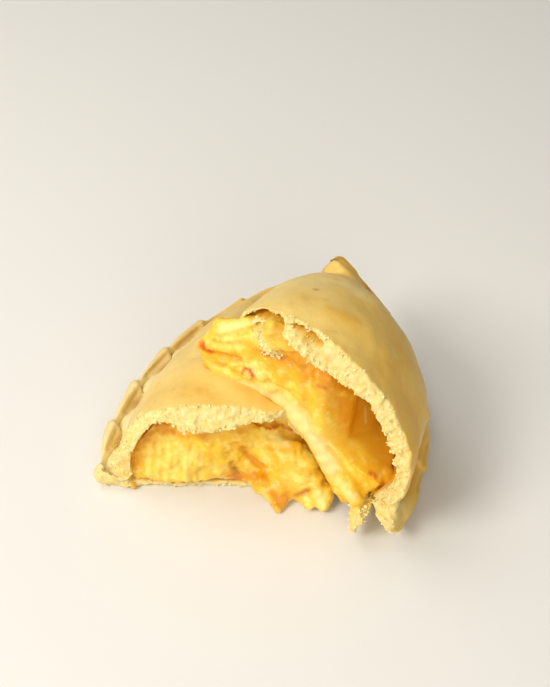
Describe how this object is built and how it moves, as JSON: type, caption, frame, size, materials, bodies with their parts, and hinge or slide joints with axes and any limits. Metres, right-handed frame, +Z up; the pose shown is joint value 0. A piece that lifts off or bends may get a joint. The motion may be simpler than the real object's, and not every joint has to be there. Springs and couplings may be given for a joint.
{
  "type": "empanada",
  "caption": "Baked half-moon cheese turnover torn apart across the middle, one half lying flat and the other leaning on it, with a crimped dough edge and melted filling at the tear.",
  "frame": {"origin": "middle of the underside, on the surface that the empanada lies on", "axes": "+Z up, +Y from the torn faces at the front to the horns at the back, +X to the side of the leaning half"},
  "size_m": [0.0742, 0.0792, 0.0466],
  "materials": {
    "crust": "satin",
    "cheese": "glossy"
  },
  "bodies": {
    "root": {"lying_crust": "crust", "lying_filling": "cheese", "leaning_crust": "crust", "leaning_filling": "cheese"}
  },
  "joints": []
}
